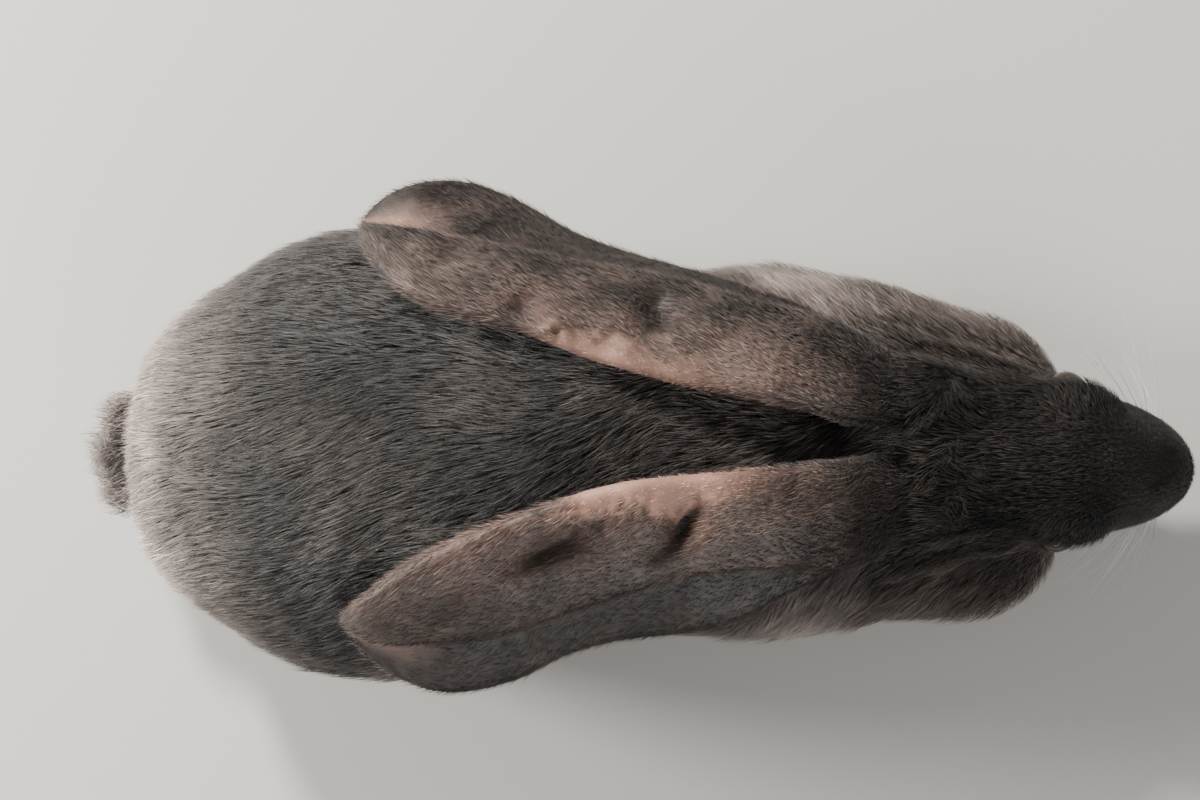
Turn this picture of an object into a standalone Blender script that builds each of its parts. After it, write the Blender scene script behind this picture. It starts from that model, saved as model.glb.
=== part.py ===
"""A large blue rabbit that crouches with its ears laid back along its body, as a life-size museum model.

Metres, +Z up, +X towards the nose, +Y the rabbit's left. Every solid shows the coat's outer surface.
The body is modelled whole, from rounded masses fused into one surface, and parted with thin cuts.
"""

import math

import bmesh
import bpy
from mathutils import Euler, Matrix, Vector
from mathutils.bvhtree import BVHTree

GAP = 0.0003  # between neighbouring pieces
VOXEL = 0.0030  # grain of the fused body
SMOOTH_PASSES = 60
BODY_TRIANGLES = 3100
SIDES = {"left": 1, "right": -1}

# Head: its own axes run u forwards to the nose, v to the left and w up.
HEAD_PLACE = Vector((0.108, 0.003, 0.088))
HEAD_DROOP = math.radians(14)
HEAD_TURN = math.radians(-4.6)
NOSE_REACH = 0.149
EYE_PLACE = Vector((0.083, 0.0278, 0.009))
EYE_RADIUS = 0.0095

EAR_THICKNESS = 0.0024
EAR_CLEARANCE = 0.0022
EAR_ROWS, EAR_COLUMNS, EAR_BED = 18, 9, 9
EAR_SINK_FROM, EAR_SINK_TO = 0.078, 0.118  # towards the nose, an ear sinks into the head between these
EAR_SINK = 0.032

FUR = (0.085, 0.086, 0.092)
EAR_FUR = (0.125, 0.105, 0.100)
HORN = (0.050, 0.045, 0.042)
EYE = (0.012, 0.008, 0.006)


# ---------------------------------------------------------------- curves and sections


def through(stations, share):
    """The values at a share (0 to 1) of the way along a list of equally timed stations, on a smooth curve."""
    spans = len(stations) - 1
    at = min(max(share, 0.0), 1.0) * spans
    i = min(int(at), spans - 1)
    t = at - i
    before, here = stations[max(i - 1, 0)], stations[i]
    after, beyond = stations[i + 1], stations[min(i + 2, spans)]
    return [
        b + 0.5 * t * (c - a + t * (2 * a - 5 * b + 4 * c - d + t * (3 * (b - c) + d - a)))
        for a, b, c, d in zip(before, here, after, beyond)
    ]


def signed_power(value, power):
    return math.copysign(abs(value) ** power, value)


def section(low, high, widest, half_width, squareness, steps=32):
    """A closed outline of (across, up) points: an ellipse with its own depth above and below its widest level."""
    outline = []
    for step in range(steps):
        angle = math.tau * step / steps
        across = half_width * signed_power(math.cos(angle), 2 / squareness)
        rise = high - widest if math.sin(angle) > 0 else widest - low
        outline.append((across, widest + rise * signed_power(math.sin(angle), 2 / squareness)))
    return outline


# ---------------------------------------------------------------- masses of the body


def new_object(name, mesh, collection):
    made = bpy.data.objects.new(name, mesh)
    collection.objects.link(made)
    return made


def add_ellipsoid(bm, centre, radii, turn=(0, 0, 0), place=None):
    """An ellipsoid turned by degrees about X, Y and Z, in the body's frame or in the frame of place."""
    spin = Euler([math.radians(a) for a in turn]).to_matrix().to_4x4()
    matrix = Matrix.Translation(centre) @ spin @ Matrix.Diagonal((*radii, 1))
    if place:
        matrix = place @ matrix
    ball = unit_ball().copy()
    ball.transform(matrix)
    bm.from_mesh(ball)
    bpy.data.meshes.remove(ball)


def unit_ball(segments=24, rings=16):
    """A mesh of a ball of radius 1, made once for each fineness."""
    name = f"ball_{segments}_{rings}"
    if name not in bpy.data.meshes:
        bm = bmesh.new()
        bmesh.ops.create_uvsphere(bm, u_segments=segments, v_segments=rings, radius=1)
        bm.to_mesh(bpy.data.meshes.new(name))
        bm.free()
    return bpy.data.meshes[name]


def add_limb(bm, joints, place=None, rings=16, sides=18):
    """A round limb along a smooth line through (x, y, z, radius) joints, with a ball at each end."""
    samples = [through(joints, ring / (rings - 1)) for ring in range(rings)]
    loops = []
    for i, (x, y, z, radius) in enumerate(samples):
        ahead = Vector(samples[min(i + 1, rings - 1)][:3]) - Vector(samples[max(i - 1, 0)][:3])
        spin = ahead.to_track_quat("X", "Z").to_matrix().to_4x4()
        matrix = Matrix.Translation((x, y, z)) @ spin
        if place:
            matrix = place @ matrix
        angles = [math.tau * step / sides for step in range(sides)]
        ring_points = [(0, radius * math.cos(a), radius * math.sin(a)) for a in angles]
        loops.append([bm.verts.new(matrix @ Vector(p)) for p in ring_points])
    skin_loops(bm, loops)
    for x, y, z, radius in (samples[0], samples[-1]):
        add_ellipsoid(bm, (x, y, z), (radius,) * 3, place=place)


def skin_loops(bm, loops):
    """A closed skin over loops of vertices with equal counts."""
    for back, front in zip(loops, loops[1:]):
        for i in range(len(back)):
            j = (i + 1) % len(back)
            bm.faces.new((back[i], front[i], front[j], back[j]))
    bm.faces.new(loops[0])
    bm.faces.new(reversed(loops[-1]))


def add_loft(bm, stations, squareness, place=None, rings=28):
    """A closed skin over sections at (along, low, high, widest level, half width) stations."""
    loops = []
    for ring in range(rings):
        along, *sizes = through(stations, ring / (rings - 1))
        outline = section(*sizes, squareness)
        points = [Vector((along, across, up)) for across, up in outline]
        loops.append([bm.verts.new(place @ p if place else p) for p in points])
    skin_loops(bm, loops)


def head_matrix():
    turn = Euler((0, HEAD_DROOP, HEAD_TURN)).to_matrix().to_4x4()
    return Matrix.Translation(HEAD_PLACE) @ turn


def add_trunk(bm):
    # along, low, high, widest level, half width
    add_loft(
        bm,
        [
            (-0.192, 0.060, 0.100, 0.080, 0.016),
            (-0.186, 0.034, 0.122, 0.078, 0.044),
            (-0.163, 0.014, 0.146, 0.074, 0.067),
            (-0.130, 0.004, 0.163, 0.072, 0.080),
            (-0.092, 0.001, 0.171, 0.070, 0.087),
            (-0.052, 0.000, 0.170, 0.069, 0.085),
            (-0.012, 0.001, 0.163, 0.067, 0.079),
            (0.026, 0.002, 0.152, 0.064, 0.077),
            (0.060, 0.004, 0.140, 0.060, 0.077),
            (0.090, 0.006, 0.129, 0.056, 0.076),
            (0.118, 0.008, 0.118, 0.050, 0.071),
            (0.143, 0.010, 0.100, 0.044, 0.064),
            (0.166, 0.012, 0.080, 0.038, 0.058),
            (0.186, 0.015, 0.062, 0.036, 0.048),
            (0.199, 0.021, 0.050, 0.035, 0.032),
            (0.204, 0.028, 0.042, 0.035, 0.014),
        ],
        squareness=2.15,
    )


def add_hind_leg(bm, side):
    add_ellipsoid(bm, (-0.088, side * 0.050, 0.074), (0.074, 0.0455, 0.066), turn=(0, 24, 0))
    add_ellipsoid(bm, (-0.028, side * 0.052, 0.048), (0.046, 0.028, 0.040), turn=(0, -12, 0))
    add_ellipsoid(bm, (-0.112, side * 0.056, 0.034), (0.054, 0.029, 0.031))
    hock = (-0.142, side * 0.058, 0.018, 0.0175)
    instep = (-0.080, side * 0.058, 0.014, 0.0170)
    ball = (-0.008, side * 0.056, 0.0115, 0.0140)
    add_limb(bm, [hock, instep, ball])
    for toe in hind_toes(side):
        add_limb(bm, toe, rings=5)


def hind_toes(side):
    """Four toes of a hind foot, each from its root to its tip as (x, y, z, radius)."""
    toes = []
    for across, reach in ((-0.0125, 0.016), (-0.0043, 0.023), (0.0043, 0.023), (0.0120, 0.015)):
        y = side * (0.0560 + across)
        root = (-0.010, y, 0.0100, 0.0072)
        tip = (0.001 + reach, y + side * across * 0.15, 0.0062, 0.0064)
        toes.append([root, tip])
    return toes


def add_fore_leg(bm, side):
    add_ellipsoid(bm, (0.052, side * 0.046, 0.080), (0.048, 0.031, 0.048), turn=(0, 30, 0))
    add_ellipsoid(bm, (0.072, side * 0.051, 0.046), (0.044, 0.030, 0.036), turn=(0, -16, 0))
    elbow = (0.066, side * 0.054, 0.026, 0.0215)
    wrist = (0.122, side * 0.043, 0.018, 0.0165)
    ball = (0.162, side * 0.037, 0.0120, 0.0135)
    add_limb(bm, [elbow, wrist, ball])
    for toe in fore_toes(side):
        add_limb(bm, toe, rings=5)


def fore_toes(side):
    """Four toes of a forefoot, each from its root to its tip as (x, y, z, radius)."""
    toes = []
    for across, reach in ((-0.0105, 0.012), (-0.0036, 0.018), (0.0036, 0.018), (0.0102, 0.011)):
        y = side * (0.0370 + across)
        root = (0.160, y, 0.0100, 0.0064)
        tip = (0.168 + reach, y + side * across * 0.15, 0.0058, 0.0058)
        toes.append([root, tip])
    return toes


def add_head(bm):
    place = head_matrix()
    # along, low, high, widest level, half width
    add_loft(
        bm,
        [
            (-0.012, -0.020, 0.020, -0.002, 0.020),
            (0.004, -0.033, 0.031, -0.004, 0.034),
            (0.026, -0.040, 0.037, -0.008, 0.0400),
            (0.050, -0.042, 0.040, -0.010, 0.0405),
            (0.072, -0.040, 0.0410, -0.006, 0.0375),
            (0.092, -0.036, 0.0385, -0.004, 0.0330),
            (0.110, -0.032, 0.0335, -0.004, 0.0290),
            (0.124, -0.028, 0.0275, -0.004, 0.0250),
            (0.135, -0.023, 0.0205, -0.004, 0.0200),
            (0.1435, -0.016, 0.0125, -0.003, 0.0140),
            (NOSE_REACH, -0.007, 0.0050, -0.001, 0.0060),
        ],
        squareness=2.15,
        place=place,
        rings=34,
    )
    add_ellipsoid(bm, (0.118, 0, -0.028), (0.014, 0.013, 0.0095), place=place)
    add_ellipsoid(bm, (0.004, 0, 0.022), (0.030, 0.022, 0.0155), place=place)
    for side in SIDES.values():
        cheek = (0.056, side * 0.0285, -0.018)
        brow = (0.082, side * 0.0225, 0.0245)
        whisker_pad = (0.1315, side * 0.0105, -0.0120)
        ear_root = (0.014, side * 0.022, 0.024)
        add_ellipsoid(bm, cheek, (0.038, 0.0175, 0.027), place=place)
        add_ellipsoid(bm, brow, (0.024, 0.0135, 0.0110), (0, 10, side * -4), place)
        add_ellipsoid(bm, whisker_pad, (0.0165, 0.0125, 0.0125), place=place)
        add_ellipsoid(bm, ear_root, (0.036, 0.018, 0.016), (0, 4, 0), place)
    jowl = {1: (0.146, 0.033, 0.055), -1: (0.148, -0.044, 0.046)}
    for side, centre in jowl.items():
        add_ellipsoid(bm, centre, (0.050, 0.027, 0.031), turn=(0, 10, -side * 14 - 6))


def add_tail(bm):
    add_limb(bm, [(-0.178, 0, 0.064, 0.024), (-0.189, 0, 0.056, 0.0265), (-0.196, 0, 0.050, 0.020)])
    for side in SIDES.values():
        add_ellipsoid(bm, (-0.191, side * 0.012, 0.055), (0.018, 0.022, 0.024))


def softness(point):
    """How much the smoothing reaches a point of the fused body, less on the face and least on the feet."""
    u = (head_matrix().inverted() @ point).x
    face = min(max((u - 0.040) / 0.050, 0), 1)
    foot = min(max((0.034 - point.z) / 0.016, 0), 1)
    toe = foot * (1 if abs(point.y) > 0.020 else 0)
    return 1 - 0.80 * max(face * min(max((point.z - 0.02) / 0.02, 0), 1), toe)


def evaluated_mesh(obj):
    graph = bpy.context.evaluated_depsgraph_get()
    return bpy.data.meshes.new_from_object(obj.evaluated_get(graph))


def fused_body(helpers):
    """The whole body in one surface, its feet and belly flattened where they meet the floor."""
    bm = bmesh.new()
    add_trunk(bm)
    add_head(bm)
    add_tail(bm)
    for side in SIDES.values():
        add_hind_leg(bm, side)
        add_fore_leg(bm, side)
    bmesh.ops.recalc_face_normals(bm, faces=bm.faces)
    mesh = bpy.data.meshes.new("masses")
    bm.to_mesh(mesh)
    bm.free()
    masses = new_object("masses", mesh, helpers)
    masses.hide_render = True
    remesh = masses.modifiers.new("fuse", "REMESH")
    remesh.mode = "VOXEL"
    remesh.voxel_size = VOXEL
    fused = new_object("whole_body", evaluated_mesh(masses), helpers)
    fused.hide_render = True
    soft = fused.vertex_groups.new(name="soft")
    for vertex in fused.data.vertices:
        soft.add([vertex.index], softness(vertex.co), "REPLACE")
    smooth = fused.modifiers.new("soften", "SMOOTH")
    smooth.factor = 0.5
    smooth.iterations = SMOOTH_PASSES
    smooth.vertex_group = soft.name
    triangles = 2 * len(fused.data.polygons)
    thin = fused.modifiers.new("thin", "DECIMATE")
    thin.ratio = BODY_TRIANGLES / triangles
    thin.vertex_group = soft.name
    thin.vertex_group_factor = 0.04
    whole = new_object("body", evaluated_mesh(fused), helpers)
    whole.hide_render = True
    for vertex in whole.data.vertices:
        vertex.co.z = max(vertex.co.z, 0.0)
    return whole


# ---------------------------------------------------------------- ears

# x, y of the fold, of the upper margin and of the lower margin, least height at the fold
# and at the margins, and the space between the two sheets, from the root to the tip
EAR_STATIONS = {
    "left": [
        (0.1340, 0.0160, 0.0300, 0.0290, 0.078, 0.074, 0.010),
        (0.1200, 0.0140, 0.0370, 0.0360, 0.084, 0.078, 0.013),
        (0.1080, 0.0140, 0.0440, 0.0430, 0.092, 0.082, 0.015),
        (0.0950, 0.0155, 0.0510, 0.0505, 0.098, 0.080, 0.015),
        (0.0770, 0.0200, 0.0565, 0.0600, 0.090, 0.075, 0.013),
        (0.0540, 0.0247, 0.0620, 0.0680, 0.090, 0.077, 0.010),
        (0.0310, 0.0286, 0.0690, 0.0750, 0.100, 0.082, 0.008),
        (0.0080, 0.0347, 0.0735, 0.0820, 0.110, 0.088, 0.007),
        (-0.0120, 0.0413, 0.0764, 0.0900, 0.130, 0.094, 0.007),
        (-0.0300, 0.0490, 0.0800, 0.1000, 0.142, 0.100, 0.008),
        (-0.0500, 0.0535, 0.0840, 0.1080, 0.145, 0.105, 0.010),
        (-0.0660, 0.0590, 0.0870, 0.1090, 0.143, 0.109, 0.011),
        (-0.0800, 0.0680, 0.0895, 0.1050, 0.137, 0.113, 0.009),
        (-0.0885, 0.0790, 0.0905, 0.0990, 0.131, 0.117, 0.006),
        (-0.0925, 0.0885, 0.0915, 0.0940, 0.126, 0.122, 0.002),
    ],
    "right": [
        (0.1340, -0.0080, -0.0260, -0.0250, 0.078, 0.074, 0.010),
        (0.1200, -0.0040, -0.0330, -0.0320, 0.084, 0.078, 0.013),
        (0.1080, -0.0020, -0.0400, -0.0390, 0.092, 0.082, 0.015),
        (0.0950, -0.0025, -0.0440, -0.0465, 0.098, 0.080, 0.015),
        (0.0763, -0.0039, -0.0430, -0.0530, 0.090, 0.075, 0.013),
        (0.0534, -0.0055, -0.0430, -0.0650, 0.090, 0.075, 0.010),
        (0.0310, -0.0070, -0.0460, -0.0700, 0.100, 0.083, 0.008),
        (0.0080, -0.0095, -0.0530, -0.0730, 0.110, 0.091, 0.007),
        (-0.0130, -0.0150, -0.0600, -0.0790, 0.130, 0.098, 0.007),
        (-0.0320, -0.0218, -0.0665, -0.0885, 0.145, 0.104, 0.008),
        (-0.0520, -0.0295, -0.0700, -0.0930, 0.150, 0.110, 0.010),
        (-0.0690, -0.0380, -0.0712, -0.0910, 0.150, 0.116, 0.011),
        (-0.0840, -0.0490, -0.0708, -0.0820, 0.148, 0.124, 0.009),
        (-0.0930, -0.0560, -0.0670, -0.0720, 0.145, 0.132, 0.006),
        (-0.0970, -0.0595, -0.0625, -0.0640, 0.143, 0.138, 0.002),
    ],
}


def clear_height(tree, x, y):
    """The least height of a sheet that clears the body at a place, or None beside the body."""
    hit, normal, _, _ = tree.ray_cast(Vector((x, y, 1)), Vector((0, 0, -1)))
    if hit is None or hit.z < 0.060:
        return None
    return hit.z + (EAR_CLEARANCE + EAR_THICKNESS / 2) / max(normal.z, 0.5)


def bed_heights(station, tree, places):
    """Heights at which a taut sheet would lie over the body, at each y of a row of places."""
    x, fold, upper, lower, fold_height, edge_height, _ = station
    sunk = min(max((x - EAR_SINK_FROM) / (EAR_SINK_TO - EAR_SINK_FROM), 0), 1)
    sink = EAR_SINK * sunk * sunk * (3 - 2 * sunk)
    raw = []
    for y in places:
        share = min(abs(y - fold) / abs(lower - fold), 1)
        lift = fold_height + (edge_height - fold_height) * share
        clear = clear_height(tree, x, y)
        raw.append(max(lift, clear - sink) if clear else lift)
    taut = list(raw)
    for i, y in enumerate(places):
        for j in range(i):
            for k in range(i + 1, len(places)):
                part = (y - places[j]) / (places[k] - places[j])
                taut[i] = max(taut[i], raw[j] + (raw[k] - raw[j]) * part)
    return taut


def ear_row(station, bed, places, across_steps):
    """Points of the ear's middle surface at one station, from the lower margin over the fold to the upper."""
    x, fold, upper, lower, _, _, space = station
    points = []
    for across in across_steps:
        margin = upper if across > 0 else lower
        out = abs(margin - fold) * abs(across)
        y = fold + math.copysign(out, lower - fold)
        at = out / abs(places[-1] - places[0]) * (len(places) - 1)
        i = min(int(at), len(places) - 2)
        base = bed[i] + (bed[i + 1] - bed[i]) * (at - i)
        turn = 1 - min(out / (space / 2), 1)
        half = space / 2 * math.sqrt(1 - turn * turn)
        rise = half * (1 - 0.45 * across * across) if across > 0 else -half
        points.append((x, y, base + space / 2 + rise))
    return points


def mixed_rows(rows, mix):
    """Each value mixed with its neighbours in the rows before and after."""
    trios = zip([rows[0]] + rows[:-1], rows, rows[1:] + [rows[-1]])
    return [[mix(*values) for values in zip(*trio)] for trio in trios]


def ear_object(name, stations, tree, collection):
    """One ear: a sheet folded along its inner side, open outwards."""
    across_steps = [signed_power(2 * i / (EAR_COLUMNS - 1) - 1, 1.5) for i in range(EAR_COLUMNS)]
    chosen, beds, rows_of_places = [], [], []
    for row in range(EAR_ROWS):
        station = through(stations, 1 - (1 - row / (EAR_ROWS - 1)) ** 1.25)
        fold, reach = station[1], max(station[2:4], key=lambda margin: abs(margin - station[1]))
        places = [fold + (reach - fold) * i / (EAR_BED - 1) for i in range(EAR_BED)]
        chosen.append(station)
        rows_of_places.append(places)
        beds.append(bed_heights(station, tree, places))
    beds = mixed_rows(beds, max)
    for _ in range(3):
        beds = mixed_rows(beds, lambda behind, here, ahead: (behind + 2 * here + ahead) / 4)
    bm = bmesh.new()
    rows = []
    for station, bed, places in zip(chosen, beds, rows_of_places):
        rows.append([bm.verts.new(point) for point in ear_row(station, bed, places, across_steps)])
    for back, front in zip(rows, rows[1:]):
        for i in range(EAR_COLUMNS - 1):
            bm.faces.new((back[i], back[i + 1], front[i + 1], front[i]))
    mesh = bpy.data.meshes.new(name)
    bm.to_mesh(mesh)
    bm.free()
    ear = new_object(name, mesh, collection)
    solidify = ear.modifiers.new("thickness", "SOLIDIFY")
    solidify.thickness = EAR_THICKNESS
    solidify.offset = 0
    return ear


# ---------------------------------------------------------------- parting the body


def grown(obj, by, collection):
    """A helper with the object's shape, every point moved out by a distance along its normal."""
    mesh = evaluated_mesh(obj)
    for vertex, normal in zip(mesh.vertices, [v.normal.copy() for v in mesh.vertices]):
        vertex.co += normal * by
    made = new_object(obj.name + "_grown", mesh, collection)
    made.matrix_world = obj.matrix_world
    made.hide_render = True
    return made


def combined(obj, other, operation, name, collection):
    """A new object: the largest body of obj once other is joined, cut away or kept in common."""
    change = obj.modifiers.new(operation, "BOOLEAN")
    change.operation = operation
    change.object = other
    mesh = evaluated_mesh(obj)
    obj.modifiers.remove(change)
    bm = bmesh.new()
    bm.from_mesh(mesh)
    bodies = connected_faces(bm)
    crumbs = [face for body in bodies if body is not max(bodies, key=len) for face in body]
    bmesh.ops.delete(bm, geom=crumbs, context="FACES")
    bm.to_mesh(mesh)
    bm.free()
    return new_object(name, mesh, collection)


def connected_faces(bm):
    """Lists of faces that hang together."""
    found = []
    waiting = set(bm.faces)
    while waiting:
        front = [waiting.pop()]
        body = []
        while front:
            face = front.pop()
            body.append(face)
            near = {other for edge in face.edges for other in edge.link_faces if other in waiting}
            waiting -= near
            front.extend(near)
        found.append(body)
    return found


def region(name, centre, radii, turn=(0, 0, 0), place=None, box=False, grow=0.0):
    """A helper ellipsoid, or a box of these half sizes, that bounds one part of the body."""
    if box:
        bm = bmesh.new()
        bmesh.ops.create_cube(bm, size=2)
        mesh = bpy.data.meshes.new(name)
        bm.to_mesh(mesh)
        bm.free()
    else:
        mesh = unit_ball(16, 8).copy()
    spin = Euler([math.radians(a) for a in turn]).to_matrix().to_4x4()
    matrix = Matrix.Translation(centre) @ spin @ Matrix.Diagonal((*[r + grow for r in radii], 1))
    mesh.transform(place @ matrix if place else matrix)
    made = new_object(name, mesh, bpy.data.collections["helpers"])
    made.hide_render = True
    return made


def regions():
    """Each part's name and its bounds, in the order in which the parts are cut off the whole."""
    found = {"tail": dict(centre=(-0.222, 0, 0.054), radii=(0.026, 0.050, 0.050), turn=(0, 14, 0), box=True)}
    for word, side in SIDES.items():
        found[f"hind_foot_{word}"] = dict(
            centre=(-0.066, side * 0.060, 0.000), radii=(0.100, 0.031, 0.025), turn=(0, 0, side * 2), box=True
        )
        found[f"hind_leg_{word}"] = dict(
            centre=(-0.078, side * 0.080, 0.066), radii=(0.088, 0.046, 0.076), turn=(0, 14, 0)
        )
        found[f"fore_foot_{word}"] = dict(
            centre=(0.150, side * 0.0415, 0.000), radii=(0.058, 0.0205, 0.024), turn=(0, 0, side * -9), box=True
        )
        found[f"fore_leg_{word}"] = dict(
            centre=(0.064, side * 0.074, 0.054), radii=(0.047, 0.036, 0.050), turn=(0, -10, 0)
        )
    found["head"] = dict(centre=(0.077, 0, 0.003), radii=(0.092, 0.066, 0.057), place=head_matrix())
    found["neck"] = dict(centre=(0.193, 0, 0.050), radii=(0.100, 0.130, 0.150), turn=(0, -12, 0), box=True)
    return found


def add_eyes(rest, rabbit, helpers):
    """Two eyeballs, and the body with a socket for each."""
    for word, side in SIDES.items():
        x, y, z = EYE_PLACE
        centre = head_matrix() @ Vector((x, side * y, z))
        mesh = unit_ball(16, 8).copy()
        mesh.transform(Matrix.Translation(centre) @ Matrix.Scale(EYE_RADIUS, 4))
        new_object(f"eye_{word}", mesh, rabbit)
        socket = region(f"socket_{word}", centre, (EYE_RADIUS,) * 3, grow=GAP)
        rest = combined(rest, socket, "DIFFERENCE", "body_with_socket", helpers)
        rest.hide_render = True
    return rest


def add_claws(toes, name, forward, body, rabbit, helpers):
    """A claw at the tip of each toe, trimmed where the toe's coat covers it."""
    for number, (_, tip) in enumerate(toes, 1):
        x, y, z, radius = tip
        bm = bmesh.new()
        slope = Matrix.Rotation(math.radians(90 + 13), 4, "Y")
        spot = Matrix.Translation((x + radius * 0.55 + forward, y, z - 0.0008))
        bmesh.ops.create_cone(
            bm,
            cap_ends=True,
            segments=5,
            radius1=0.0016,
            radius2=0.0005,
            depth=0.009,
            matrix=spot @ slope,
        )
        mesh = bpy.data.meshes.new("claw")
        bm.to_mesh(mesh)
        bm.free()
        raw = new_object("claw_raw", mesh, helpers)
        raw.hide_render = True
        combined(raw, body, "DIFFERENCE", f"{name}_{number}", rabbit)


def material(name, colour, roughness):
    made = bpy.data.materials.new(name)
    made.use_nodes = True
    shader = made.node_tree.nodes["Principled BSDF"]
    shader.inputs["Base Color"].default_value = (*colour, 1)
    shader.inputs["Roughness"].default_value = roughness
    return made


def paint(rabbit):
    coats = {
        "ear": material("ear_coat", EAR_FUR, 0.8),
        "eye": material("eye", EYE, 0.08),
        "claw": material("claw", HORN, 0.4),
    }
    coat = material("coat", FUR, 0.75)
    for obj in rabbit.objects:
        obj.data.shade_smooth()
        obj.data.set_sharp_from_angle(angle=math.radians(50))
        obj.data.materials.clear()
        obj.data.materials.append(coats.get(obj.name.split("_")[0], coat))


def place_origin(rabbit):
    """Moves everything so that the origin is below the middle of the model, on the floor."""
    corners = []
    for obj in rabbit.objects:
        corners += [obj.matrix_world @ v.co for v in evaluated_mesh(obj).vertices]
    middle_x = (min(c.x for c in corners) + max(c.x for c in corners)) / 2
    middle_y = (min(c.y for c in corners) + max(c.y for c in corners)) / 2
    for obj in rabbit.objects:
        obj.data.transform(Matrix.Translation((-middle_x, -middle_y, 0)))


def main():
    for obj in list(bpy.data.objects):
        bpy.data.objects.remove(obj)
    rabbit = bpy.data.collections.new("rabbit")
    helpers = bpy.data.collections.new("helpers")
    bpy.context.scene.collection.children.link(rabbit)
    bpy.context.scene.collection.children.link(helpers)
    whole = fused_body(helpers)
    around = grown(whole, GAP, helpers)
    tree = BVHTree.FromObject(whole, bpy.context.evaluated_depsgraph_get())
    for word, stations in EAR_STATIONS.items():
        raw = ear_object(f"ear_sheet_{word}", stations, tree, helpers)
        raw.hide_render = True
        combined(raw, around, "DIFFERENCE", f"ear_{word}", rabbit)
    rest = add_eyes(whole, rabbit, helpers)
    for word, side in SIDES.items():
        add_claws(hind_toes(side), f"claw_hind_{word}", 0.004, around, rabbit, helpers)
        add_claws(fore_toes(side), f"claw_fore_{word}", 0.004, around, rabbit, helpers)
    for name, bounds in regions().items():
        combined(rest, region("bound", **bounds), "INTERSECT", name, rabbit)
        rest = combined(rest, region("gap", **bounds, grow=GAP), "DIFFERENCE", "rest", helpers)
        rest.hide_render = True
    new_object("trunk", rest.data.copy(), rabbit)
    paint(rabbit)
    place_origin(rabbit)


main()
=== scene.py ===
"""Looks of a large blue rabbit that crouches with its ears laid back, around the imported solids.

The flesh nodes are fused into one skin that lies inside them by the coat's depth. The coat is solid tufts
that lie along the body; ears, eyelids, eyes, claws and whiskers are modelled finer than the solids.
Lengths are in metres, apart from two tables of the ears that are in tenths of a millimetre. "Form"
coordinates are the ones the body was designed in: form_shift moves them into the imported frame. "Head"
coordinates are the head's own: u forwards to the nose, v to the left and w up.
"""

import itertools
import math
from collections import namedtuple

import bmesh
import bpy
import numpy as np
from mathutils import Euler, Matrix, Vector
from mathutils.bvhtree import BVHTree
from mathutils.kdtree import KDTree


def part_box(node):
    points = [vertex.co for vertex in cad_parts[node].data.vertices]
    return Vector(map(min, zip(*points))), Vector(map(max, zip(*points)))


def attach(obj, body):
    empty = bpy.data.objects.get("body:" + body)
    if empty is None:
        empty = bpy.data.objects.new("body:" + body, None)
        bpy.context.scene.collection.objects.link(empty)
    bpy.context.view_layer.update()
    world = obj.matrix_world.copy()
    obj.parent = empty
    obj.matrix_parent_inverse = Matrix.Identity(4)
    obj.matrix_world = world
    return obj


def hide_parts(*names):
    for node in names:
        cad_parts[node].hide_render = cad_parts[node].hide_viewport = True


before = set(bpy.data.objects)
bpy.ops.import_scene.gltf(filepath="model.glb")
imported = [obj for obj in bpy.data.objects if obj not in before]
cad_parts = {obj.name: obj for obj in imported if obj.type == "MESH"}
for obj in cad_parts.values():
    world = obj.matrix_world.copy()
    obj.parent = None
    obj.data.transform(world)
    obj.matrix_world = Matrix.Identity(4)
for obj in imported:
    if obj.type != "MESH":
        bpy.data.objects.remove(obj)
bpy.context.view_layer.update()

SIDES = {"left": 1, "right": -1}
FLESH = ["trunk", "neck", "head", "tail"] + [
    f"{limb}_{word}" for limb in ("hind_leg", "hind_foot", "fore_leg", "fore_foot") for word in SIDES
]

HEAD_PLACE = Vector((0.108, 0.003, 0.088))
HEAD_DROOP = math.radians(14)
HEAD_TURN = math.radians(-4.6)
EYE_PLACE = Vector((0.083, 0.0278, 0.009))
EYE_RADIUS = 0.0095
EYE_AXIS = Vector((0.16, 1.0, 0.20)).normalized()

form_head = Matrix.Translation(HEAD_PLACE) @ Euler((0, HEAD_DROOP, HEAD_TURN)).to_matrix().to_4x4()
eye_low, eye_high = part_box("eye_left")
form_shift = (eye_low + eye_high) / 2 - form_head @ EYE_PLACE
head = Matrix.Translation(form_shift) @ form_head

SKIN_VOXEL = 0.0023
SKIN_OVERLAP = 0.0005  # closes the cuts between the solids before they are fused
SMOOTH_PASSES = 6
FLOOR_CLEARANCE = 0.0004
MUZZLE_FROM, MUZZLE_FLOOR = 0.108, -0.045  # the skin is finer from here to the nose, and above this
FOLD_STEPS = 48

EAR_THICKNESS = 0.0022
EAR_CLEARANCE = 0.0022
EAR_ROWS, EAR_COLUMNS = 240, 71
BED_ROWS, BED_COLUMNS = 18, 9
TENTHS_PER_METRE = 10000
EAR_PACE = 1.25  # above 1, an ear's rows are closer together towards its tip
LOWEST_BED = 0.060
EAR_SINK_FROM, EAR_SINK_TO = 0.078, 0.118  # towards the nose, an ear sinks into the head between these
EAR_SINK = 0.032

LONG_TUFTS = 42000
FINE_TUFTS = 72000
HEAD_TUFTS = 18000
SHORT_TUFTS = 40000
EAR_TUFTS = 41000
ROOT_TUFTS = 5000
LID_TUFTS = 2600
PIECE_TRIANGLES = 190000
TUFT_TRIANGLES = {True: 10, False: 4}  # of a bent tuft and a straight one
UV_MAP = "OFBake"
UV_PATCH = 0.003
TUFTS_PER_LOCK = 7
LOCK_PULL = 0.22
ROOT_DEPTH = 0.0004
TUFT_FLATNESS = 0.55
LEAST_DENSITY = 1e-9

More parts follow.
